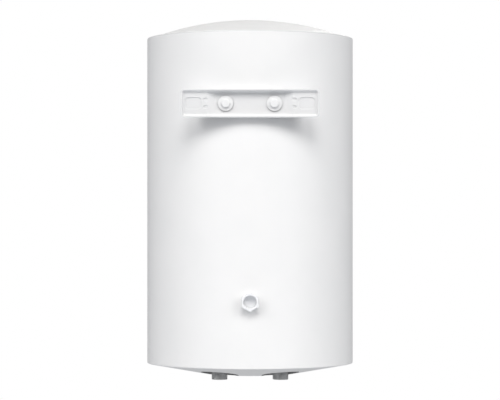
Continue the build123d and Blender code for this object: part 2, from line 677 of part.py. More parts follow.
def flange_studs():
    return [rod(STUD_D, STUD_END, SEAT_Z + STUD_SEAT, x, y) for x, y in stud_spots()]


def flange_nuts():
    return [hex_rod(NUT_AF, PLATE_Z - NUT_H, PLATE_Z, x, y) - rod(
        STUD_D + 2 * RUN, STUD_END, PLATE_Z + CUT, x, y) for x, y in stud_spots()]


def heating_element():
    end = PLATE_Z - ELEMENT_TAIL
    bend = ELEMENT_TOP - ELEMENT_X
    route = Polyline((-ELEMENT_X, ELEMENT_Y, end), (-ELEMENT_X, ELEMENT_Y, bend)) + ThreePointArc(
        (-ELEMENT_X, ELEMENT_Y, bend), (0, ELEMENT_Y, ELEMENT_TOP), (ELEMENT_X, ELEMENT_Y, bend))
    route += Line((ELEMENT_X, ELEMENT_Y, bend), (ELEMENT_X, ELEMENT_Y, end))
    return sweep(Pos(-ELEMENT_X, ELEMENT_Y, end) * Circle(ELEMENT_D / 2), route)


def element_insulator(side):
    z1 = PLATE_Z - ELEMENT_TAIL
    return ring(BEAD_D, PIN_D + 2 * RUN, z1 - BEAD_H, z1, side * ELEMENT_X, ELEMENT_Y)


def element_terminal(side):
    return rod(PIN_D, THERMO_TOP, PLATE_Z - ELEMENT_TAIL, side * ELEMENT_X, ELEMENT_Y)


def anode_rod():
    end = PLATE_Z - ANODE_NUT_H - ANODE_PROUD
    foot = PLATE_TOP + ANODE_LIFT
    part = rod(ANODE_D, foot, foot + ANODE_L, ANODE_X, ANODE_Y)
    return part + rod(ANODE_STUD_D, end, foot, ANODE_X, ANODE_Y)


def anode_nut():
    foot = PLATE_Z - ANODE_NUT_H
    part = hex_rod(ANODE_NUT_AF, foot, PLATE_Z, ANODE_X, ANODE_Y)
    return part - rod(ANODE_STUD_D + 2 * RUN, foot - CUT, PLATE_Z + CUT, ANODE_X, ANODE_Y)


def earth_screw():
    part = hex_rod(EARTH_AF, PLATE_Z - EARTH_H, PLATE_Z, 0, EARTH_Y)
    return part + rod(EARTH_D, PLATE_Z, PLATE_Z + EARTH_SEAT - FIT, 0, EARTH_Y)


def thermostat_pocket():
    top = PLATE_TOP + POCKET_L
    foot = PLATE_Z - POCKET_TAIL
    part = rod(POCKET_D, foot, top, POCKET_X, POCKET_Y)
    return part - rod(POCKET_D - 2 * POCKET_T, foot - CUT, top - POCKET_T, POCKET_X, POCKET_Y)


def thermostat_probe():
    top = PLATE_TOP + POCKET_L - POCKET_T - PROBE_SPARE
    return rod(POCKET_D - 2 * POCKET_T - 2 * FIT, THERMO_TOP, top, POCKET_X, POCKET_Y)


def thermostat_body():
    block = extrude(RectangleRounded(THERMO_W, THERMO_L, THERMO_CORNER_R), THERMO_H)
    part = Pos(0, THERMO_Y, THERMO_Z) * block
    part -= rod(SPINDLE_D + 2 * RUN, THERMO_Z - CUT, THERMO_Z + SPINDLE_IN + FIT, 0, KNOB_Y)
    depth = RESET_L - RESET_PROUD + RESET_TRAVEL + RESET_SPARE
    return part - rod(RESET_D + 2 * RUN, THERMO_Z - CUT, THERMO_Z + depth, RESET_X, RESET_Y)


def reset_button():
    foot = THERMO_Z - RESET_PROUD
    part = rod(RESET_D, foot, foot + RESET_L, RESET_X, RESET_Y)
    return chamfer(circles(part, RESET_D / 2, foot), RESET_CHAMFER)


def spindle_shape(grow, z0, z1):
    """Round shaft with one flat, which keys the knob."""
    part = rod(SPINDLE_D + 2 * grow, z0, z1, 0, KNOB_Y)
    flat = Box(SPINDLE_D * 2, SPINDLE_D, z1 - z0, align=(Align.CENTER, Align.MIN, Align.MIN))
    return part - Pos(0, KNOB_Y + SPINDLE_D / 2 - SPINDLE_FLAT + grow, z0) * flat


def thermostat_spindle():
    keyed = spindle_shape(0, SPINDLE_END, KNOB_TOP)
    return keyed + rod(SPINDLE_D, KNOB_TOP, THERMO_Z + SPINDLE_IN, 0, KNOB_Y)


def temperature_knob():
    disc = KNOB_TOP - KNOB_T
    part = rod(KNOB_D, disc, KNOB_TOP, 0, KNOB_Y)
    for i in range(KNOB_TEETH):
        a = 2 * math.pi * i / KNOB_TEETH
        spot = (KNOB_D / 2 * math.cos(a), KNOB_Y + KNOB_D / 2 * math.sin(a))
        part -= rod(2 * KNOB_TOOTH_R, disc - CUT, KNOB_TOP + CUT, *spot)
    reach = KNOB_D - 4 * KNOB_TOOTH_R
    bar = Box(KNOB_GRIP_W, reach, disc - KNOB_END, align=UP)
    grip = (Pos(0, KNOB_Y, KNOB_END) * bar) & rod(reach, KNOB_END, disc, 0, KNOB_Y)
    part += fillet(grip.edges().filter_by(Axis.Z), KNOB_GRIP_R)
    return part - spindle_shape(RUN, SPINDLE_END, KNOB_TOP + CUT)


def lamp_lens():
    rim_d = LAMP_LENS_D + 2 * LAMP_RIM_W
    part = rod(rim_d, BASE_Z - LAMP_RIM_T, BASE_Z, LAMP_X)
    part += rod(LAMP_LENS_D, BASE_Z, BASE_IN_Z, LAMP_X)
    cap_r = (LAMP_LENS_D ** 2 / 4 + LAMP_DOME ** 2) / (2 * LAMP_DOME)
    cap = Pos(LAMP_X, 0, BASE_Z - LAMP_RIM_T - LAMP_DOME + cap_r) * Sphere(cap_r)
    return part + (cap & rod(LAMP_LENS_D, BASE_Z - LAMP_RIM_T - LAMP_DOME, BASE_Z, LAMP_X))


def pilot_lamp():
    top = BASE_IN_Z + LAMP_BODY_H
    part = rod(LAMP_BODY_D, BASE_IN_Z, top, LAMP_X)
    for y in (-LEAD_PITCH / 2, LEAD_PITCH / 2):
        part -= rod(LEAD_D + 2 * RUN, top - LEAD_D, top + CUT, LAMP_X, y)
    return part


def lamp_lead(side):
    """Insulated wire from the lamp up and over to the thermostat's side."""
    y = side * LEAD_PITCH / 2
    z0 = BASE_IN_Z + LAMP_BODY_H - LEAD_D
    z1 = BASE_IN_Z + LAMP_BODY_H + LEAD_RISE
    x1 = -THERMO_W / 2
    route = FilletPolyline((LAMP_X, y, z0), (LAMP_X, y, z1), (x1, y, z1), radius=LEAD_BEND_R)
    return sweep(Pos(LAMP_X, y, z0) * Circle(LEAD_D / 2), route)


def cable_gland():
    neck = GLAND_BORE_D + 2 * GLAND_WALL
    part = rod(neck, BASE_Z, BASE_Z + GLAND_IN, GLAND_X)
    part += rod(neck + 2 * GLAND_RIM_W, BASE_Z - GLAND_RIM_T, BASE_Z, GLAND_X)
    part += rod(neck + GLAND_RIM_W, BASE_IN_Z + FIT, BASE_IN_Z + FIT + GLAND_RIM_T, GLAND_X)
    return part - rod(GLAND_BORE_D, BASE_Z - GLAND_RIM_T - CUT, BASE_Z + GLAND_IN + CUT, GLAND_X)


NODES = {
    "outer_jacket": outer_jacket(),
    "top_cover": top_cover(),
    "bottom_cover": bottom_cover(),
    "service_cover": service_cover(),
    "service_screws": service_screws(),
    "wall_bracket": wall_bracket(),
    "bracket_bolts": both_sides(bracket_bolt),
    "bracket_bosses": both_sides(bracket_boss),
    "saddle_plate": saddle_plate(),
    "wall_spacer": wall_spacer(),
    "spacer_insert": spacer_insert(),
    "tank_shell": ring(TANK_D, TANK_D - 2 * TANK_T, SHELL_Z0, SHELL_Z1),
    "tank_top_head": to_top(dish() - dish(-TANK_T)),
    "tank_bottom_head": tank_bottom_head(),
    "foam_insulation": foam_insulation(),
    "cold_nipple": nipple(-PIPE_X, False),
    "hot_nipple": nipple(PIPE_X, True),
    "hot_dip_tube": hot_dip_tube(),
    "inlet_diffuser": inlet_diffuser(),
    "pipe_grommets": both_sides(pipe_grommet),
    "flange_collar": flange_collar(),
    "flange_gasket": flange_gasket(),
    "flange_plate": flange_plate(),
    "flange_studs": flange_studs(),
    "flange_nuts": flange_nuts(),
    "heating_element": heating_element(),
    "element_insulators": both_sides(element_insulator),
    "element_terminals": both_sides(element_terminal),
    "anode_rod": anode_rod(),
    "anode_nut": anode_nut(),
    "earth_screw": earth_screw(),
    "thermostat_pocket": thermostat_pocket(),
    "thermostat_probe": thermostat_probe(),
    "thermostat_body": thermostat_body(),
    "thermostat_spindle": thermostat_spindle(),
    "temperature_knob": temperature_knob(),
    "reset_button": reset_button(),
    "pilot_lamp": pilot_lamp(),
    "lamp_lens": lamp_lens(),
    "lamp_leads": both_sides(lamp_lead),
    "cable_gland": cable_gland(),
}

os.makedirs("parts", exist_ok=True)
TO_FRAME = Pos(0, -WALL_Y, -HANG_Z)
for name, piece in NODES.items():
    solids = piece if isinstance(piece, list) else [piece]
    moved = [TO_FRAME * s for s in solids]
    shape = moved[0] if len(moved) == 1 else Compound(children=moved)
    export_step(shape, f"parts/{name}.step")
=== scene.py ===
import math

import bmesh
import bpy
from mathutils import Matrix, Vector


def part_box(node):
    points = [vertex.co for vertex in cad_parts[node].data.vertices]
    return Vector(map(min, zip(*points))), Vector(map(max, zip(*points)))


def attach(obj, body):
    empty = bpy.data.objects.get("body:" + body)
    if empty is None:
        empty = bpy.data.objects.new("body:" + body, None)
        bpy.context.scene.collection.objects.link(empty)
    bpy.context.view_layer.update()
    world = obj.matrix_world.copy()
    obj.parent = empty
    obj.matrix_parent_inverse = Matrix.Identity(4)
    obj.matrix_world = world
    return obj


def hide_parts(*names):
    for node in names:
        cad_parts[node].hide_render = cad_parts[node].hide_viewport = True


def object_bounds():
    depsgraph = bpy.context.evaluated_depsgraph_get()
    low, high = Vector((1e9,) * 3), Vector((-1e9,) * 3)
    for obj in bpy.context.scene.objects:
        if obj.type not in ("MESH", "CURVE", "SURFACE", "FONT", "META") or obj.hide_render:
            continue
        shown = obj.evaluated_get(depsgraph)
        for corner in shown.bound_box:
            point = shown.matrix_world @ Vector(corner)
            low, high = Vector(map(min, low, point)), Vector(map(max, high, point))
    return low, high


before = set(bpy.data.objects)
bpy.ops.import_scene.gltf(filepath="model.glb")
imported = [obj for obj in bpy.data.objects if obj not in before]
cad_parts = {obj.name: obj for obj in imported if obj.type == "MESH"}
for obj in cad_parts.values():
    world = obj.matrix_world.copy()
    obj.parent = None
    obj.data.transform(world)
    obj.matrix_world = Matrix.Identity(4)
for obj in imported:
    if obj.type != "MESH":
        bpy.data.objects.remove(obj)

# Looks of a wall-hung electric water heater, seen from its wall side.
# Metres, in the part's own frame: the wall is the plane y = 0 and the room lies towards +y.

MM = 0.001
cad_low, cad_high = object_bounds()
jacket_low, jacket_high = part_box("outer_jacket")
AXIS_Y = (jacket_low.y + jacket_high.y) / 2
BASE_RIM_Z = jacket_low.z - 2 * MM


# Hand tools

def alone(piece=None):
    """Leave nothing selected, or only this piece."""
    bpy.ops.object.select_all(action="DESELECT")
    if piece:
        piece.select_set(True)
        bpy.context.view_layer.objects.active = piece


def named(name):
    """Name the primitive that was just added."""
    piece = bpy.context.active_object
    piece.name = name
    piece.data.name = name
    return piece


def open_mesh(piece, what):
    """Edit mode on one piece with nothing selected; what is VERT, EDGE or FACE."""
    alone(piece)
    bpy.ops.object.mode_set(mode="EDIT")
    bpy.ops.mesh.select_mode(type=what)
    bpy.ops.mesh.select_all(action="DESELECT")


def close_mesh():
    bpy.ops.object.mode_set(mode="OBJECT")


def pick(kind, wanted):
    """Select in edit mode the verts, edges or faces that pass a test."""
    mesh = bmesh.from_edit_mesh(bpy.context.edit_object.data)
    mesh.normal_update()
    for item in getattr(mesh, kind):
        item.select_set(bool(wanted(item)))
    mesh.select_flush_mode()
    bmesh.update_edit_mesh(bpy.context.edit_object.data)


def middle(item):
    """Middle of an edge or a face."""
    total = item.verts[0].co.copy()
    for vert in item.verts[1:]:
        total += vert.co
    return total / len(item.verts)


def worked(piece, kind, **settings):
    """Add a modifier, set it and apply it."""
    alone(piece)
    modifier = piece.modifiers.new(kind.lower(), kind)
    for key, value in settings.items():
        setattr(modifier, key, value)
    bpy.ops.object.modifier_apply(modifier=modifier.name)
    return piece


def carved(piece, tool, how="DIFFERENCE"):
    """Cut a piece with a tool, which is used up."""
    worked(piece, "BOOLEAN", operation=how, object=tool, solver="EXACT")
    bpy.data.objects.remove(tool)
    return piece


def settled(piece):
    """Put a piece's place into its mesh, so that the object sits at the origin."""
    alone(piece)
    bpy.ops.object.transform_apply(location=True, rotation=True, scale=True)
    return piece


def softened(piece, width, segments=2, angle=30):
    """Round the edges of a piece and shade it smoothly."""
    worked(piece, "BEVEL", width=width, segments=segments, limit_method="ANGLE",
           angle_limit=math.radians(angle), harden_normals=False)
    alone(piece)
    bpy.ops.object.shade_smooth_by_angle(angle=math.radians(angle))
    return piece


def copied(piece, name, move=(0, 0, 0)):
    """A copy with its own mesh, moved by an amount that goes into the mesh."""
    twin = piece.copy()
    twin.data = piece.data.copy()
    twin.name = name
    twin.data.name = name
    bpy.context.scene.collection.objects.link(twin)
    open_mesh(twin, "VERT")
    bpy.ops.mesh.select_all(action="SELECT")
    bpy.ops.transform.translate(value=move)
    close_mesh()
    return twin


def joined(pieces, name):
    alone(pieces[0])
    for piece in pieces[1:]:
        piece.select_set(True)
    bpy.ops.object.join()
    return named(name)


def round_bar(name, radius, z0, z1, sides=96, at=(0, 0)):
    """Plain upright bar, as a tool or a start."""
    bpy.ops.mesh.primitive_cylinder_add(vertices=sides, radius=radius, depth=z1 - z0,
                                        location=(at[0], at[1], (z0 + z1) / 2))
    return settled(named(name))


def cone_bar(name, radius0, radius1, z0, z1, sides=96, at=(0, 0)):
    bpy.ops.mesh.primitive_cone_add(vertices=sides, radius1=radius0, radius2=radius1, depth=z1 - z0,
                                    location=(at[0], at[1], (z0 + z1) / 2))
    return settled(named(name))


def faced_to_wall(piece, x, y, z):
    """Turn a piece that was made upright so that its top looks at the wall, and place it."""
    piece.rotation_euler = (math.radians(90), 0, 0)
    piece.location = (x, y, z)
    return settled(piece)


def screw_thread(name, radius, depth, pitch, z0, z1, sides=72):
    """Closed threaded bar about the z axis: one turn's outline, wound up and cut square at both ends."""
    flank = depth * math.tan(math.radians(27.5))
    flat = (pitch - 2 * flank) / 2
    turns = math.ceil((z1 - z0) / pitch) + 3
    bpy.ops.mesh.primitive_plane_add(size=MM, location=(0, 0, 0))
    thread = named(name)
    open_mesh(thread, "VERT")
    bpy.ops.mesh.select_all(action="SELECT")
    bpy.ops.mesh.merge(type="CENTER")
    bpy.ops.transform.translate(value=(radius - depth, 0, z0 - 1.5 * pitch))
    for run, rise in ((0, flat), (depth, flank), (0, flat), (-depth, flank)):
        bpy.ops.mesh.extrude_region_move(TRANSFORM_OT_translate={"value": (run, 0, rise)})
    close_mesh()
    worked(thread, "SCREW", axis="Z", angle=2 * math.pi, screw_offset=pitch, iterations=turns,
           steps=sides, render_steps=sides, use_merge_vertices=True, merge_threshold=1e-6)
    open_mesh(thread, "VERT")
    bpy.ops.mesh.select_all(action="SELECT")
    bpy.ops.mesh.remove_doubles(threshold=1e-6)
    bpy.ops.mesh.bisect(plane_co=(0, 0, z0), plane_no=(0, 0, 1), use_fill=True, clear_inner=True)
    bpy.ops.mesh.select_all(action="SELECT")
    bpy.ops.mesh.bisect(plane_co=(0, 0, z1), plane_no=(0, 0, 1), use_fill=True, clear_outer=True)
    bpy.ops.mesh.select_all(action="SELECT")
    bpy.ops.mesh.normals_make_consistent(inside=False)
    close_mesh()
    return thread


# Finishes

def finish(name):
    """An empty finish: its material, node tree, shader and object coordinates."""
    material = bpy.data.materials.new(name)
    material.use_nodes = True
    tree = material.node_tree
    place = tree.nodes.new("ShaderNodeTexCoord").outputs["Object"]
    return material, tree, tree.nodes["Principled BSDF"], place


def cloudy(tree, place, size, detail=2.0, stretch=None):
    """Noise whose spots are about this size in metres."""
    if stretch:
        turn = tree.nodes.new("ShaderNodeMapping")
        turn.inputs["Scale"].default_value = stretch
        tree.links.new(place, turn.inputs["Vector"])
        place = turn.outputs["Vector"]
    noise = tree.nodes.new("ShaderNodeTexNoise")
    noise.inputs["Scale"].default_value = 1 / size
    noise.inputs["Detail"].default_value = detail
    tree.links.new(place, noise.inputs["Vector"])
    return noise.outputs["Fac"]


def coloured(tree, shader, fac, dark, light, low=0.35, high=0.65):
    """Base colour that drifts between two close shades."""
    ramp = tree.nodes.new("ShaderNodeValToRGB")
    ramp.color_ramp.elements[0].position = low
    ramp.color_ramp.elements[0].color = (*dark, 1)
    ramp.color_ramp.elements[1].position = high
    ramp.color_ramp.elements[1].color = (*light, 1)
    tree.links.new(fac, ramp.inputs["Fac"])
    tree.links.new(ramp.outputs["Color"], shader.inputs["Base Color"])


def polished(tree, shader, fac, low, high):
    """Roughness that drifts between two values."""
    spread = tree.nodes.new("ShaderNodeMapRange")
    spread.inputs["From Min"].default_value = 0.3
    spread.inputs["From Max"].default_value = 0.7
    spread.inputs["To Min"].default_value = low
    spread.inputs["To Max"].default_value = high
    tree.links.new(fac, spread.inputs["Value"])
    tree.links.new(spread.outputs["Result"], shader.inputs["Roughness"])


def grained(tree, shader, fac, depth, strength=1.0):
    """Relief of this depth in metres."""
    bump = tree.nodes.new("ShaderNodeBump")
    bump.inputs["Strength"].default_value = strength
    bump.inputs["Distance"].default_value = depth
    tree.links.new(fac, bump.inputs["Height"])
    tree.links.new(bump.outputs["Normal"], shader.inputs["Normal"])


def white_enamel(name, shade):
    """Stoved white paint on sheet steel, with the faint orange peel of a sprayed coat."""
    material, tree, shader, place = finish(name)
    coloured(tree, shader, cloudy(tree, place, 0.09, 3), (shade - 0.01, shade - 0.008, shade - 0.006),
             (shade + 0.01, shade + 0.01, shade + 0.011))
    polished(tree, shader, cloudy(tree, place, 0.02, 4), 0.40, 0.48)
    grained(tree, shader, cloudy(tree, place, 0.0035, 2), 0.00002, 0.35)
    shader.inputs["IOR"].default_value = 1.5
    return material


def white_moulding(name, shade=0.87, grain=0.0009, milky=0.0, shine=0.5):
    """White moulded plastic with a fine spark-eroded grain; a milky one lets light into it."""
    material, tree, shader, place = finish(name)
    coloured(tree, shader, cloudy(tree, place, 0.06, 3), (shade - 0.012, shade - 0.01, shade - 0.008),
             (shade + 0.006, shade + 0.007, shade + 0.007))
    polished(tree, shader, cloudy(tree, place, 0.012, 4), 0.46, 0.56)
    grained(tree, shader, cloudy(tree, place, grain, 2), 0.00002, 0.4)
    shader.inputs["Specular IOR Level"].default_value = shine
    shader.inputs["Subsurface Weight"].default_value = milky
    shader.inputs["Subsurface Radius"].default_value = (1, 1, 1)
    shader.inputs["Subsurface Scale"].default_value = 0.004
    return material


WELL_R = 31 * MM
PIPE_X = 50 * MM
PIPE_Y = (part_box("cold_nipple")[0].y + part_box("cold_nipple")[1].y) / 2


def round_mask(tree, place, x, y, radius):
    """Above 0 inside an upright round area, and 0 outside it."""
    reach = 1 / (radius + 0.3 * MM)
    move = tree.nodes.new("ShaderNodeMapping")
    move.inputs["Scale"].default_value = (reach, reach, 0)
    move.inputs["Location"].default_value = (-x * reach, -y * reach, 0)
    tree.links.new(place, move.inputs["Vector"])
    ball = tree.nodes.new("ShaderNodeTexGradient")
    ball.gradient_type = "SPHERICAL"
    tree.links.new(move.outputs["Vector"], ball.inputs["Vector"])
    return ball.outputs["Fac"]


def reckoned(tree, how, *terms):
    """Arithmetic on varying values; plain numbers are set on the node's own sockets."""
    node = tree.nodes.new("ShaderNodeMath")
    node.operation = how
    for socket, term in zip(node.inputs, terms):
        if isinstance(term, float):
            socket.default_value = term
        else:
            tree.links.new(term, socket)
    return node.outputs["Value"]


def cover_with_painted_shade(name, spots, painted_tones):
    """White moulding of a cover, with painted shade inside some round areas: the shadow down in its wells."""
    material, tree, shader, place = finish(name)
    areas = [round_mask(tree, place, *spot) for spot in spots]
    while len(areas) > 1:
        areas.append(reckoned(tree, "MAXIMUM", areas.pop(), areas.pop()))
    inside = reckoned(tree, "GREATER_THAN", areas[0], 0.002)
    drift = reckoned(tree, "MULTIPLY", cloudy(tree, place, 0.06, 3), 0.5)
    ramp = tree.nodes.new("ShaderNodeValToRGB")
    ramp.color_ramp.elements[0].position = 0.17
    ramp.color_ramp.elements[0].color = (0.858, 0.86, 0.862, 1)
    ramp.color_ramp.elements[1].position = 0.33
    ramp.color_ramp.elements[1].color = (0.876, 0.877, 0.877, 1)
    # Past the middle the ramp gives the painted shade of the round areas.
    for spot, shade in ((0.5, 0.876), (0.6, painted_tones[0]), (0.9, painted_tones[1])):
        ramp.color_ramp.elements.new(spot).color = (shade, shade, shade, 1)
    tree.links.new(reckoned(tree, "MULTIPLY_ADD", inside, 0.5, drift), ramp.inputs["Fac"])
    tree.links.new(ramp.outputs["Color"], shader.inputs["Base Color"])
    polished(tree, shader, cloudy(tree, place, 0.012, 4), 0.46, 0.56)
    grained(tree, shader, cloudy(tree, place, 0.0009, 2), 0.00002, 0.4)
    return material


def plain_steel(name, dark, light, low, high, grain=0.0016, stretch=None, metal=1.0):
    """Bare metal with uneven polish and drawing marks."""
    material, tree, shader, place = finish(name)
    coloured(tree, shader, cloudy(tree, place, 0.006, 5), dark, light)
    polished(tree, shader, cloudy(tree, place, 0.003, 4), low, high)
    grained(tree, shader, cloudy(tree, place, grain, 3, stretch), 0.00002, 0.3)
    shader.inputs["Metallic"].default_value = metal
    return material


def moulded(name, dark, light, low, high, grain=0.0008):
    """Coloured plastic or rubber with a fine grain."""
    material, tree, shader, place = finish(name)
    coloured(tree, shader, cloudy(tree, place, 0.01, 4), dark, light)
    polished(tree, shader, cloudy(tree, place, 0.004, 3), low, high)
    grained(tree, shader, cloudy(tree, place, grain, 2), 0.00003, 0.4)
    return material


def amber_window():
    """Clear amber lamp lens with faint flow marks."""
    material, tree, shader, place = finish("amber_window")
    coloured(tree, shader, cloudy(tree, place, 0.004, 2), (0.78, 0.24, 0.03), (0.9, 0.36, 0.06))
    polished(tree, shader, cloudy(tree, place, 0.002, 2), 0.08, 0.14)
    shader.inputs["Transmission Weight"].default_value = 0.55
    return material


def rigid_foam():
    """Cream polyurethane foam with open cells at its skin."""
    material, tree, shader, place = finish("rigid_foam")
    cells = tree.nodes.new("ShaderNodeTexVoronoi")
    cells.inputs["Scale"].default_value = 420
    tree.links.new(place, cells.inputs["Vector"])
    coloured(tree, shader, cloudy(tree, place, 0.02, 5), (0.72, 0.6, 0.33), (0.84, 0.74, 0.46))
    grained(tree, shader, cells.outputs["Distance"], 0.0006, 0.6)
    shader.inputs["Roughness"].default_value = 0.9
    return material


def tank_enamel():
    """Dark blue enamelled steel with small pinholes and drifts of thickness."""
    material, tree, shader, place = finish("tank_enamel")
    coloured(tree, shader, cloudy(tree, place, 0.03, 5), (0.05, 0.075, 0.15), (0.11, 0.15, 0.26))
    polished(tree, shader, cloudy(tree, place, 0.008, 4), 0.16, 0.34)
    grained(tree, shader, cloudy(tree, place, 0.004, 3), 0.00005, 0.4)
    return material


ENAMEL = white_enamel("white_enamel", 0.885)
# The bracket and its bolts are darker copies of the jacket's white enamel: painted shade that holds down how
# bright the tray comes out and the light it throws on the jacket.
BRACKET_PAINTED_SHADE = white_enamel("bracket_paint_with_painted_shade", 0.715)
BOLT_PAINTED_SHADE = white_enamel("bolt_paint_with_painted_shade", 0.76)
COVER = white_moulding("white_cover_moulding")
WELLS = ((-PIPE_X, PIPE_Y, WELL_R), (PIPE_X, PIPE_Y, WELL_R))
# The bottom cover's wells are painted dark: painted shade where they lie in shadow round the nipples.
COVER_WITH_PAINTED_WELL_SHADE = cover_with_painted_shade("cover_plastic_with_painted_well_shade", WELLS, (0.25, 0.31))
# The top cover is a darker copy of the white moulding: painted shade on the dome, which catches more light
# from above than the jacket.
DOME_PAINTED_SHADE = white_moulding("dome_plastic_with_painted_shade", 0.755, shine=0.15)
# The spacer is a darker copy of the white moulding: painted shade that offsets its own fill light, so that
# its rim stays below white.
SPACER_PAINTED_SHADE = white_moulding("spacer_plastic_with_painted_shade", 0.63, 0.0007, 0.5)
NYLON = white_moulding("natural_nylon", 0.78, 0.0012)
PIPE = plain_steel("pipe_steel", (0.55, 0.55, 0.55), (0.68, 0.68, 0.675), 0.4, 0.55, 0.0009, metal=0.6)
ZINC = plain_steel("zinc_plate", (0.56, 0.57, 0.58), (0.7, 0.71, 0.72), 0.26, 0.42)
COPPER = plain_steel("copper_sheath", (0.58, 0.27, 0.15), (0.72, 0.38, 0.23), 0.3, 0.48, 0.002, (1, 1, 0.05))
ANODE = plain_steel("cast_magnesium", (0.42, 0.42, 0.43), (0.58, 0.58, 0.59), 0.55, 0.75, 0.003)
KNOB_GREY = moulded("knob_grey", (0.33, 0.34, 0.355), (0.38, 0.39, 0.405), 0.4, 0.5)
MARK_WHITE = moulded("mark_white", (0.82, 0.82, 0.82), (0.9, 0.9, 0.9), 0.45, 0.55)
PRINT_GREY = moulded("printed_grey", (0.12, 0.125, 0.13), (0.17, 0.175, 0.18), 0.5, 0.62)
CASE_BLACK = moulded("case_black", (0.018, 0.018, 0.02), (0.035, 0.035, 0.037), 0.42, 0.56)
RUBBER = moulded("black_rubber", (0.016, 0.016, 0.016), (0.034, 0.034, 0.033), 0.6, 0.78, 0.0014)
RESET_RED = moulded("reset_red", (0.46, 0.025, 0.02), (0.58, 0.04, 0.032), 0.25, 0.36)
CERAMIC = moulded("glazed_bead", (0.78, 0.75, 0.66), (0.88, 0.86, 0.79), 0.2, 0.32)
AMBER = amber_window()
FOAM = rigid_foam()
TANK = tank_enamel()

FINISHES = {
    ENAMEL: ["outer_jacket"],
    COVER: ["service_cover"],
    DOME_PAINTED_SHADE: ["top_cover"],
    COVER_WITH_PAINTED_WELL_SHADE: ["bottom_cover"],
    NYLON: ["spacer_insert", "inlet_diffuser"],
    PIPE: ["hot_dip_tube"],
    ZINC: ["flange_plate", "flange_studs", "flange_nuts", "anode_nut", "earth_screw", "element_terminals",
           "thermostat_spindle"],
    COPPER: ["heating_element", "thermostat_pocket", "thermostat_probe"],
    ANODE: ["anode_rod"],
    CASE_BLACK: ["thermostat_body", "pilot_lamp", "lamp_leads"],
    RUBBER: ["pipe_grommets", "flange_gasket", "cable_gland"],
    RESET_RED: ["reset_button"],
    CERAMIC: ["element_insulators"],
    AMBER: ["lamp_lens"],
    FOAM: ["foam_insulation"],
    TANK: ["tank_shell", "tank_top_head", "tank_bottom_head", "flange_collar", "saddle_plate",
           "bracket_bosses"],
}
for material, nodes in FINISHES.items():
    for node in nodes:
        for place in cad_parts[node].material_slots:
            place.material = material


def dressed(piece, material, body, slot, *nodes):
    """Clean a finished piece, give it its material and body, and let it stand for its nodes; the slot is not
    used.
    """
    open_mesh(piece, "VERT")
    bpy.ops.mesh.select_all(action="SELECT")
    bpy.ops.mesh.remove_doubles(threshold=3e-7)
    bpy.ops.mesh.dissolve_degenerate(threshold=3e-7)
    close_mesh()
    piece.data.materials.clear()
    piece.data.materials.append(material)
    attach(piece, body)
    if nodes:
        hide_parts(*nodes)
    return piece


# Pipe nipples with their pipe thread

THREAD_PITCH = 1.814 * MM
THREAD_DEPTH = 1.16 * MM
THREAD_L = 22 * MM
THREAD_CHAMFER = 0.9 * MM
THREAD_END = 0.05 * MM
SHANK_R = 12 * MM
BORE_R = 9 * MM
MOUTH_R = BORE_R + 1.8 * MM
SOCKET_R = 10.05 * MM
SOCKET_L = 16 * MM


def pipe_nipple(node, name, socket):
    """Nipple made upright from its threaded end; the hot one has a socket for its dip tube."""
    low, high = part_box(node)
    radius = (high.x - low.x) / 2
    length = high.z - low.z
    nipple = screw_thread(name, radius, THREAD_DEPTH, THREAD_PITCH, THREAD_END, THREAD_L - THREAD_END)
    blank = round_bar("blank", radius, 0, THREAD_L)
    open_mesh(blank, "EDGE")
    pick("edges", lambda e: abs(e.verts[0].co.z - e.verts[1].co.z) < 1e-6)
    bpy.ops.mesh.bevel(offset=THREAD_CHAMFER, segments=2)
    close_mesh()
    carved(nipple, blank, "INTERSECT")
    carved(nipple, round_bar("shank", SHANK_R, THREAD_L - 2 * MM, length), "UNION")
    carved(nipple, round_bar("bore", BORE_R, -MM, length + MM))
    carved(nipple, cone_bar("mouth", MOUTH_R, BORE_R - 0.2 * MM, -MM, MM))
    if socket:
        carved(nipple, round_bar("socket", SOCKET_R, length - SOCKET_L, length + MM))
    alone(nipple)
    bpy.ops.object.shade_smooth_by_angle(angle=math.radians(25))
    nipple.location = ((low.x + high.x) / 2, (low.y + high.y) / 2, low.z)
    return dressed(settled(nipple), PIPE, "heater", "pipe_steel", node)


pipe_nipple("cold_nipple", "cold_pipe_nipple", False)
pipe_nipple("hot_nipple", "hot_pipe_nipple", True)


# Pressed wall bracket, with the rounded rim of drawn sheet

BRACKET_T = 2.5 * MM
INNER_RIM_R = 2 * MM
OUTER_RIM_R = 0.4 * MM
GROOVE_OUT = 0.5 * MM
GROOVE_IN = 0.25 * MM
FLANGE_R = 12.3 * MM
FLANGE_T = 2.5 * MM
FLANGE_EDGE = 1.2 * MM
FLANGE_RISE = 0.8 * MM
SEAT_EDGE = 1.3 * MM
SEAT_RELIEF = 0.9 * MM
HEX_AF = 13 * MM
HEX_H = 3.6 * MM
HEAD_H = 8.5 * MM
BOLT_R = 4 * MM
bracket_low, bracket_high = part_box("wall_bracket")
BRACKET_Z = (bracket_low.z + bracket_high.z) / 2
bolts_low, bolts_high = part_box("bracket_bolts")
bolt_x = (bolts_high.x - bolts_low.x) / 2 - FLANGE_R
bolt_z = (bolts_low.z + bolts_high.z) / 2
seat_y = bolts_low.y + HEAD_H


def seat_groove(side):
    """Ring that cuts the narrow groove pressed round one bolt's flange."""
    ring = round_bar("groove", FLANGE_R + GROOVE_OUT, -MM, 0.5 * MM, 128)
    carved(ring, round_bar("middle", FLANGE_R - GROOVE_IN, -2 * MM, MM, 128))
    return faced_to_wall(ring, side * bolt_x, seat_y, bolt_z)


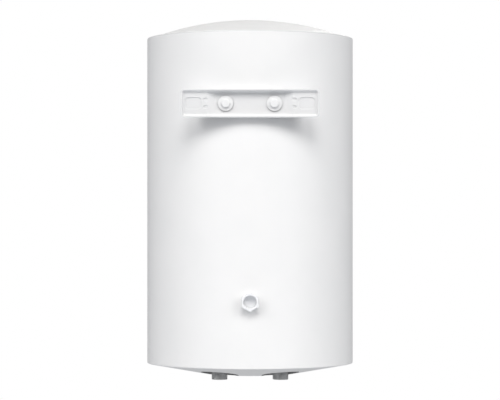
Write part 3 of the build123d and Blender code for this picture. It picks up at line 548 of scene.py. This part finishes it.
def rounded_bracket():
    """Copy of the CAD bracket with a rolled rim and a groove round each bolt."""
    bracket = copied(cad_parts["wall_bracket"], "pressed_wall_bracket")
    open_mesh(bracket, "VERT")
    bpy.ops.mesh.select_all(action="SELECT")
    bpy.ops.mesh.remove_doubles(threshold=1e-6)
    bpy.ops.mesh.customdata_custom_splitnormals_clear()
    close_mesh()
    half_w = bracket_high.x - BRACKET_T
    half_h = bracket_high.z - BRACKET_Z - BRACKET_T

    def on_rim(edge):
        flat = all(vert.co.y < bracket_low.y + 0.01 * MM for vert in edge.verts)
        return flat and edge.calc_face_angle(0) > math.radians(60)

    def inside(edge):
        spot = middle(edge)
        return abs(spot.x) < half_w + 0.1 * MM and abs(spot.z - BRACKET_Z) < half_h + 0.1 * MM

    for wanted, width, steps in ((lambda e: on_rim(e) and inside(e), INNER_RIM_R, 6),
                                 (lambda e: on_rim(e) and not inside(e), OUTER_RIM_R, 3)):
        open_mesh(bracket, "EDGE")
        pick("edges", wanted)
        bpy.ops.mesh.bevel(offset=width, segments=steps, clamp_overlap=True)
        close_mesh()
    for side in (-1, 1):
        carved(bracket, seat_groove(side))
    alone(bracket)
    bpy.ops.object.shade_smooth_by_angle(angle=math.radians(35))
    return bracket


wall_hardware = [dressed(rounded_bracket(), BRACKET_PAINTED_SHADE, "heater", "white_steel", "wall_bracket")]


# Flange bolts of the wall bracket

def flange_bolt():
    """Bolt head made upright with its seat at height 0: flange and hexagon."""
    head = round_bar("bracket_bolt_left", FLANGE_R, 0, FLANGE_T, 128)
    open_mesh(head, "FACE")
    pick("faces", lambda f: f.normal.z > 0.9)
    bpy.ops.mesh.inset(thickness=FLANGE_EDGE)
    bpy.ops.mesh.inset(thickness=FLANGE_R - FLANGE_EDGE - HEX_AF / 2)
    bpy.ops.transform.translate(value=(0, 0, FLANGE_RISE))
    bpy.ops.mesh.select_all(action="DESELECT")
    pick("faces", lambda f: f.normal.z < -0.9)
    bpy.ops.mesh.inset(thickness=SEAT_EDGE)
    bpy.ops.mesh.extrude_region_move(TRANSFORM_OT_translate={"value": (0, 0, 0)})
    pick("faces", lambda f: f.normal.z < -0.9 and middle(f).xy.length > FLANGE_R - SEAT_EDGE)
    bpy.ops.transform.translate(value=(0, 0, SEAT_RELIEF))
    close_mesh()
    softened(head, 0.3 * MM, 3)
    top = FLANGE_T + HEX_H
    bpy.ops.mesh.primitive_cylinder_add(vertices=6, radius=HEX_AF / 2 / math.cos(math.pi / 6),
                                        depth=HEX_H, location=(0, 0, FLANGE_T + HEX_H / 2),
                                        rotation=(0, 0, math.radians(30)))
    hexagon = settled(named("hexagon"))
    crown_r = 0.44 * HEX_AF
    foot_r = 2 * HEX_AF
    fall = (foot_r - crown_r) * math.tan(math.radians(30))
    carved(hexagon, cone_bar("crown", foot_r, crown_r, top - fall, top, 144), "INTERSECT")
    softened(hexagon, 0.14 * MM, 2, 25)
    return joined([head, hexagon], "bracket_bolt_left")


left_bolt = flange_bolt()
shank = round_bar("shank", BOLT_R, seat_y - bolts_high.y, 0.5 * MM, 48)
softened(shank, 0.4 * MM, 2)
left_bolt = faced_to_wall(joined([left_bolt, shank], "bracket_bolt_left"), -bolt_x, seat_y, bolt_z)
right_bolt = copied(left_bolt, "bracket_bolt_right", (2 * bolt_x, 0, 0))
for bolt in (left_bolt, right_bolt):
    wall_hardware.append(dressed(bolt, BOLT_PAINTED_SHADE, "heater", "white_steel", "bracket_bolts"))


# Hexagonal wall spacer on its threaded stem

spacer_low, spacer_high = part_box("wall_spacer")
SPACER_AF = spacer_high.x - spacer_low.x
SPACER_DEPTH = 12.6 * MM
SPACER_FLOOR = 3 * MM
SPACER_BORE_R = 10.5 * MM
STEM_R = 6 * MM
STEM_PITCH = 2.5 * MM
STEM_THREAD = 0.8 * MM
CORNER_R = 1.2 * MM
spacer_z = (spacer_low.z + spacer_high.z) / 2


def hexagon_spacer():
    """Spacer made upright with its wall face on top at height 0."""
    bpy.ops.mesh.primitive_cylinder_add(vertices=6, radius=SPACER_AF / 2 / math.cos(math.pi / 6),
                                        depth=SPACER_DEPTH, location=(0, 0, -SPACER_DEPTH / 2))
    spacer = settled(named("hexagon_wall_spacer"))
    open_mesh(spacer, "EDGE")
    pick("edges", lambda e: abs(e.verts[0].co.z - e.verts[1].co.z) > MM)
    bpy.ops.mesh.bevel(offset=CORNER_R, segments=3)
    close_mesh()
    carved(spacer, round_bar("bore", SPACER_BORE_R, -SPACER_DEPTH + SPACER_FLOOR, MM))
    softened(spacer, 0.35 * MM, 2, 40)
    stem_end = spacer_low.y - spacer_high.y
    stem = screw_thread("stem", STEM_R, STEM_THREAD, STEM_PITCH, stem_end + THREAD_END, MM - SPACER_DEPTH, 48)
    blank = round_bar("blank", STEM_R, stem_end, 0.5 * MM - SPACER_DEPTH, 64)
    open_mesh(blank, "EDGE")
    pick("edges", lambda e: middle(e).z < stem_end + 0.1 * MM)
    bpy.ops.mesh.bevel(offset=CORNER_R, segments=1)
    close_mesh()
    carved(stem, blank, "INTERSECT")
    alone(stem)
    bpy.ops.object.shade_smooth_by_angle(angle=math.radians(25))
    return faced_to_wall(joined([spacer, stem], "hexagon_wall_spacer"), 0, spacer_low.y, spacer_z)


spacer = dressed(hexagon_spacer(), SPACER_PAINTED_SHADE, "spacer", "white_cover", "wall_spacer")
wall_hardware.append(spacer)


# Service cover screws with a cross recess

SCREW_HEAD_R = 3.5 * MM
SCREW_HEAD_H = 2.2 * MM
SCREW_R = 1.75 * MM
RECESS_L = 4 * MM
RECESS_W = 0.9 * MM
RECESS_DEPTH = 1.2 * MM
screws_low, screws_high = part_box("service_screws")
screw_y = (screws_high.y - screws_low.y) / 2 - SCREW_HEAD_R


def cover_screw(y, name):
    """Countersunk screw, head down and flush with the cover."""
    z = screws_low.z
    screw = cone_bar(name, SCREW_HEAD_R, SCREW_R, z, z + SCREW_HEAD_H, 64, (0, y))
    carved(screw, round_bar("shank", SCREW_R, z + 2 * MM, screws_high.z, 48, (0, y)), "UNION")
    for turn in (0, 90):
        bpy.ops.mesh.primitive_cube_add(size=1, location=(0, y, z), rotation=(0, 0, math.radians(turn)),
                                        scale=(RECESS_L, RECESS_W, 2 * RECESS_DEPTH))
        slot = settled(named("slot"))
        open_mesh(slot, "FACE")
        pick("faces", lambda f: f.normal.z > 0.9)
        bpy.ops.transform.resize(value=(0.45, 0.45, 1))
        close_mesh()
        carved(screw, slot)
    return softened(screw, 0.08 * MM, 2, 35)


for side, name in ((-1, "cover_screw_rear"), (1, "cover_screw_front")):
    dressed(cover_screw(AXIS_Y + side * screw_y, name), ZINC, "heater", "zinc_steel", "service_screws")


# Temperature knob with its pointer, and the dial printed round its recess

knob_low, knob_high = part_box("temperature_knob")
KNOB_X = (knob_low.x + knob_high.x) / 2
KNOB_Y = (knob_low.y + knob_high.y) / 2
KNOB_R = 19 * MM
DISC_T = 4 * MM
GRIP_W = 9 * MM
GRIP_L = 32 * MM
GRIP_CORNER = 2.6 * MM
FLUTES = 20
FLUTE_R = 1.4 * MM
SHAFT_HOLE_R = 3.05 * MM


def dial_knob():
    """Fluted disc with a raised grip on its lower face and a hole for the spindle."""
    at = (KNOB_X, KNOB_Y)
    disc_z = knob_high.z - DISC_T
    knob = round_bar("temperature_dial_knob", KNOB_R, disc_z, knob_high.z, 160, at)
    cutter = round_bar("cutter", FLUTE_R, disc_z - MM, knob_high.z + MM, 24, (KNOB_X + KNOB_R, KNOB_Y))
    cutters = [cutter]
    for i in range(1, FLUTES):
        turn = 2 * math.pi * i / FLUTES
        move = (KNOB_R * (math.cos(turn) - 1), KNOB_R * math.sin(turn), 0)
        cutters.append(copied(cutter, f"cutter_{i}", move))
    carved(knob, joined(cutters, "cutters"))
    bpy.ops.mesh.primitive_cube_add(size=1, location=(*at, (knob_low.z + disc_z + MM) / 2),
                                    scale=(GRIP_W, GRIP_L, disc_z + MM - knob_low.z))
    grip = settled(named("grip"))
    open_mesh(grip, "FACE")
    pick("faces", lambda f: f.normal.z < -0.9)
    bpy.ops.transform.resize(value=(0.82, 0.97, 1))
    close_mesh()
    open_mesh(grip, "EDGE")
    pick("edges", lambda e: abs(e.verts[0].co.z - e.verts[1].co.z) > MM)
    bpy.ops.mesh.bevel(offset=GRIP_CORNER, segments=5)
    close_mesh()
    carved(knob, grip, "UNION")
    softened(knob, 0.55 * MM, 3, 32)
    carved(knob, round_bar("shaft_hole", SHAFT_HOLE_R, knob_low.z + 2 * MM, knob_high.z + MM, 48, at))
    return knob


def pointer_line():
    """White line let into the end of the grip that points at the dial, just proud of it."""
    bpy.ops.mesh.primitive_cube_add(size=1, location=(KNOB_X, KNOB_Y + GRIP_L * 0.29, knob_low.z + 0.04 * MM),
                                    scale=(1.5 * MM, GRIP_L * 0.3, 0.24 * MM))
    line = settled(named("knob_pointer_line"))
    open_mesh(line, "EDGE")
    pick("edges", lambda e: abs(e.verts[0].co.z - e.verts[1].co.z) > 0.1 * MM)
    bpy.ops.mesh.bevel(offset=0.6 * MM, segments=4)
    close_mesh()
    return line


dressed(dial_knob(), KNOB_GREY, "knob", "grey_knob", "temperature_knob")
dressed(pointer_line(), MARK_WHITE, "knob", "white_cover")

DIAL_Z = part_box("service_cover")[0].z
DIAL_R = 24.6 * MM
DIAL_SWEEP = 270
STEPS_PER_FIGURE = 5
LAST_FIGURE = 5
FIGURE_R = 29.6 * MM
FIGURE_H = 4.4 * MM
PRINT_T = 0.08 * MM


def dial_tick(turn, length, width, name):
    """One printed stroke; the dial starts at the front and runs through three quarters of a turn."""
    radius = DIAL_R + length / 2
    bpy.ops.mesh.primitive_cube_add(size=1, scale=(length, width, PRINT_T), rotation=(0, 0, turn),
                                    location=(KNOB_X + radius * math.cos(turn),
                                              KNOB_Y + radius * math.sin(turn), DIAL_Z - PRINT_T / 2))
    tick = settled(named(name))
    open_mesh(tick, "EDGE")
    pick("edges", lambda e: abs(e.verts[0].co.z - e.verts[1].co.z) > PRINT_T / 2)
    bpy.ops.mesh.bevel(offset=width * 0.3, segments=2)
    close_mesh()
    return tick


def dial_figure(text, turn):
    """A figure of the dial, to be read from below."""
    bpy.ops.object.text_add(location=(KNOB_X + FIGURE_R * math.cos(turn), KNOB_Y + FIGURE_R * math.sin(turn),
                                      DIAL_Z - PRINT_T / 2), rotation=(math.pi, 0, math.pi))
    figure = bpy.context.active_object
    figure.data.body = text
    figure.data.size = FIGURE_H
    figure.data.align_x = "CENTER"
    figure.data.align_y = "CENTER"
    figure.data.extrude = PRINT_T / 2
    alone(figure)
    bpy.ops.object.convert(target="MESH")
    return settled(named("figure_" + text))


def printed_dial():
    """All the strokes and figures, joined into one print."""
    marks = []
    steps = LAST_FIGURE * STEPS_PER_FIGURE
    for i in range(steps + 1):
        turn = math.radians(90 + DIAL_SWEEP * i / steps)
        if i % STEPS_PER_FIGURE == 0:
            marks.append(dial_tick(turn, 2.6 * MM, 0.7 * MM, f"tick_{i}"))
            marks.append(dial_figure(str(i // STEPS_PER_FIGURE), turn))
        else:
            marks.append(dial_tick(turn, 1.5 * MM, 0.4 * MM, f"tick_{i}"))
    return joined(marks, "printed_temperature_dial")


dressed(printed_dial(), PRINT_GREY, "heater", "dark_plastic")


# Stage: pale floor far below, soft light from all sides, and the photograph's camera

FLOOR_R = 30
FLOOR_DROP = 4
CAMERA_LENS = 147.7
CAMERA_SHIFT = 0.046
CAMERA_DISTANCE = 3.45
CAMERA_HEIGHT = 0.2341


def pale_floor():
    """Wide floor so far below the hanging heater that a view from underneath is still above it."""
    bpy.ops.mesh.primitive_circle_add(vertices=128, radius=FLOOR_R, fill_type="NGON",
                                      location=(0, AXIS_Y, cad_low.z - FLOOR_DROP))
    floor = settled(named("pale_floor"))
    material, tree, shader, place = finish("pale_floor")
    coloured(tree, shader, cloudy(tree, place, 0.8, 3), (0.812, 0.812, 0.812), (0.82, 0.82, 0.82))
    shader.inputs["Roughness"].default_value = 0.8
    floor.data.materials.append(material)
    floor.visible_diffuse = False
    floor.visible_glossy = False
    floor.visible_shadow = False


def soft_light(name, azimuth, elevation, spread, strength, tint=(1, 1, 1)):
    """Far soft light of this spread in degrees; azimuth 0 is the camera's side."""
    light = bpy.data.lights.new(name, "SUN")
    light.angle = math.radians(spread)
    light.energy = strength
    light.color = tint
    lamp = bpy.data.objects.new(name, light)
    lamp.rotation_euler = (math.radians(90 - elevation), 0, math.radians(azimuth))
    bpy.context.scene.collection.objects.link(lamp)
    return lamp


def lit_alone(lamp, pieces):
    """Let a light fall on these pieces only."""
    receivers = bpy.data.collections.new(lamp.name + "_receivers")
    for piece in pieces:
        receivers.objects.link(piece)
    lamp.light_linking.receiver_collection = receivers


def surroundings(light_level, mirror_level):
    """White backdrop to the eye, dimmer in reflections and much dimmer as light on the heater."""
    world = bpy.data.worlds.new("white_room")
    bpy.context.scene.world = world
    world.use_nodes = True
    tree = world.node_tree
    rays = tree.nodes.new("ShaderNodeLightPath")
    room = None
    for level, ray in ((light_level, None), (mirror_level, "Is Glossy Ray"), (1.0, "Is Camera Ray")):
        glow = tree.nodes.new("ShaderNodeBackground")
        glow.inputs["Color"].default_value = (1, 1, 1, 1)
        glow.inputs["Strength"].default_value = level
        if ray:
            mix = tree.nodes.new("ShaderNodeMixShader")
            tree.links.new(rays.outputs[ray], mix.inputs["Fac"])
            tree.links.new(room, mix.inputs[1])
            tree.links.new(glow.outputs["Background"], mix.inputs[2])
            room = mix.outputs["Shader"]
        else:
            room = glow.outputs["Background"]
    tree.links.new(room, tree.nodes["World Output"].inputs["Surface"])


def camera():
    """Level camera on the wall's side, at its height above the lower rim."""
    data = bpy.data.cameras.new("photo_camera")
    data.lens = CAMERA_LENS
    data.sensor_width = 36
    data.shift_y = CAMERA_SHIFT
    data.clip_end = 100
    eye = bpy.data.objects.new("photo_camera", data)
    eye.location = (0, AXIS_Y - CAMERA_DISTANCE, BASE_RIM_Z + CAMERA_HEIGHT)
    eye.rotation_euler = (math.radians(90), 0, 0)
    bpy.context.scene.collection.objects.link(eye)
    bpy.context.scene.camera = eye


COOL = (0.88, 0.92, 1)
WARM = (1, 0.991, 0.98)
bpy.context.scene.view_settings.view_transform = "Standard"
pale_floor()

# The key and its wings stand above the camera, and the weak fills open the shade of bracket and spacer.
soft_light("key_light", 0, 46, 28, 1.3, WARM)
soft_light("base_light", 0, -80, 50, 1.12)
lit_alone(soft_light("hardware_fill", 0, -50, 50, 0.5, COOL), wall_hardware)
lit_alone(soft_light("spacer_fill", 0, 0, 30, 0.95, COOL), [spacer])

# The room's side has its own light, kept out of reflections so that it draws no line on the jacket's edge.
room_light = soft_light("room_light", 180, 3, 20, 2.5)
room_light.visible_glossy = False
soft_light("room_gloss", 165, 24, 12, 0.4)

for side, hand in ((-1, "left"), (1, "right")):
    lit_alone(soft_light("dome_light_" + hand, side * 135, 15, 25, 0.4), [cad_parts["top_cover"]])
    soft_light("key_wing_" + hand, side * 25, 48, 36, 0.41, WARM)
    soft_light("cheek_light_" + hand, side * 50, 28, 30, 0.83, WARM)
    soft_light("side_light_" + hand, side * 62, 18, 45, 0.29, WARM)
    soft_light("level_fill_" + hand, side * 40, 2, 30, 0.17, COOL)
    soft_light("low_fill_" + hand, side * 60, -35, 50, 0.18, COOL)
    soft_light("low_side_" + hand, side * 95, -30, 50, 0.35, COOL)
surroundings(0.06, 0.35)
camera()
